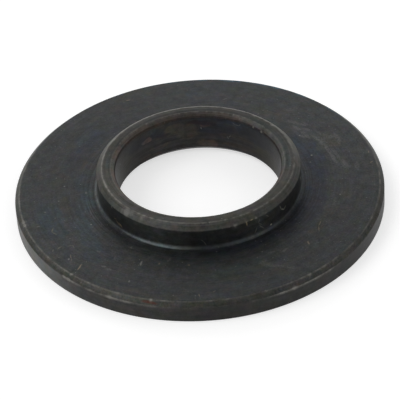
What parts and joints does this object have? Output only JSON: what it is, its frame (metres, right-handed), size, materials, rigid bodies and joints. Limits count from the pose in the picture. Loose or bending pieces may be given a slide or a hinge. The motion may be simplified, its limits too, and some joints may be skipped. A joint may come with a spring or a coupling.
{
  "type": "thrust washer",
  "caption": "Flanged thrust washer: a flat round flange with a raised collar round its bore, turned from steel and blackened.",
  "frame": {"origin": "middle of the flat thrust face that the washer lies on, on the axis of the bore", "axes": "+Z along the axis of the bore, from the thrust face towards the collar; the part is round, so X and Y are free"},
  "size_m": [0.045, 0.045, 0.0059],
  "materials": {
    "blackened_steel": "black oxide over a turned surface, oiled, worn bright along its edges"
  },
  "bodies": {
    "root": {"thrust_washer": "blackened_steel"}
  },
  "joints": []
}
